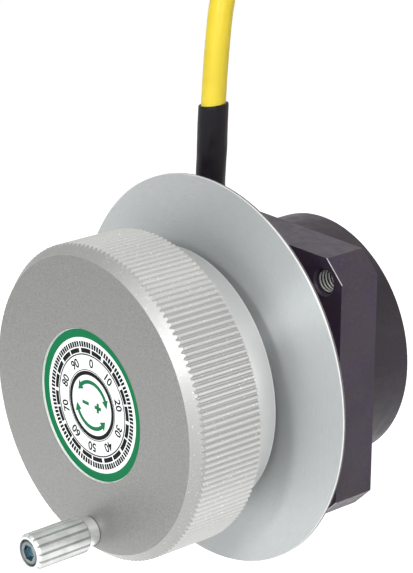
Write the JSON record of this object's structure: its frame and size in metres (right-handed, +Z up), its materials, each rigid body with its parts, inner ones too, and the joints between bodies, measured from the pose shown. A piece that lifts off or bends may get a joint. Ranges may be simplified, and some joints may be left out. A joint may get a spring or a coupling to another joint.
{
  "type": "pulse generator handwheel",
  "caption": "Panel-mounted handwheel pulse generator: knurled wheel with a turning crank sleeve, cover disc, square flange block, round rear housing and a cable at the top.",
  "frame": {"origin": "on the wheel's axis, in the block's front mounting face, at the centre of the four threaded holes", "axes": "+Z up with the cable's exit, +Y along the wheel's axis to the rear, +X to the right seen from the front; the wheel faces -Y"},
  "size_m": [0.0901, 0.1379, 0.181],
  "materials": {
    "blasted_aluminium": "bead-blasted, clear anodised",
    "satin_aluminium": "satin brushed, clear anodised",
    "turned_aluminium": "fine turned",
    "black_anodised": "black anodised, slightly brown",
    "zinc_steel": "bright zinc, bluish",
    "nickel_steel": "nickel plated",
    "ground_steel": "ground steel",
    "spring_steel": "phosphated spring steel",
    "black_steel": "black oxide",
    "cage_brass": "stamped brass",
    "pillar_brass": "turned brass",
    "magnet_grey": "sintered magnet, nickel plated",
    "code_glass": "clear disc with a printed track",
    "board_green": "solder mask",
    "black_plastic": "moulded",
    "ivory_plastic": "moulded",
    "lead_insulation": "coloured core insulation, tinned ends",
    "seal_rubber": "black rubber",
    "shrink_black": "black heat-shrink tube, satin",
    "yellow_jacket": "satin yellow jacket",
    "label_white": "printed label plate, white with a green rim"
  },
  "bodies": {
    "housing": {"flange_block": "black_anodised", "cover_disc": "satin_aluminium", "disc_screws": "zinc_steel", "panel_oring": "seal_rubber", "shaft_seal": "seal_rubber", "front_outer_ring": "ground_steel", "rear_outer_ring": "ground_steel", "housing_clip": "spring_steel", "detent_magnets": "magnet_grey", "detent_poles": "spring_steel", "circuit_board": "board_green", "board_pillars": "pillar_brass", "board_screws": "zinc_steel", "read_head": "black_plastic", "board_connector": "ivory_plastic", "cable_leads": "lead_insulation", "rear_cover": "black_anodised", "cover_gasket": "seal_rubber", "cover_screws": "black_steel", "cable_sleeve": "shrink_black", "cable": "yellow_jacket", "cable_coil": "yellow_jacket", "coil_tie": "black_plastic", "cable_end": "yellow_jacket", "end_sleeve": "shrink_black", "end_cores": "lead_insulation"},
    "rotor": {"handwheel": "blasted_aluminium", "label_plate": "label_white", "centre_screw": "zinc_steel", "crank_pin": "zinc_steel", "crank_foot": "zinc_steel", "shaft": "ground_steel", "bearing_spacer": "ground_steel", "shaft_clip": "spring_steel", "front_inner_ring": "ground_steel", "rear_inner_ring": "ground_steel", "detent_wheel": "ground_steel", "code_disc_hub": "turned_aluminium", "code_disc": "code_glass", "code_disc_clamp": "turned_aluminium"},
    "crank": {"crank_sleeve": "nickel_steel"},
    "front_ball_set": {"front_balls": "ground_steel", "front_cage": "cage_brass"},
    "rear_ball_set": {"rear_balls": "ground_steel", "rear_cage": "cage_brass"}
  },
  "joints": [
    {"name": "wheel_spin", "type": "hinge", "parent": "housing", "child": "rotor", "pos_m": [0, 0, 0], "axis": [0, -1, 0], "continuous": true},
    {"name": "crank_spin", "type": "hinge", "parent": "rotor", "child": "crank", "pos_m": [0, -0.047, -0.0265], "axis": [0, -1, 0], "continuous": true},
    {"name": "front_balls_spin", "type": "hinge", "parent": "housing", "child": "front_ball_set", "pos_m": [0, -0.0046, 0], "axis": [0, -1, 0], "continuous": true},
    {"name": "rear_balls_spin", "type": "hinge", "parent": "housing", "child": "rear_ball_set", "pos_m": [0, 0.0024, 0], "axis": [0, -1, 0], "continuous": true}
  ],
  "couplings": [
    {"joint": "front_balls_spin", "follows": "wheel_spin", "ratio": 0.4},
    {"joint": "rear_balls_spin", "follows": "wheel_spin", "ratio": 0.4}
  ]
}
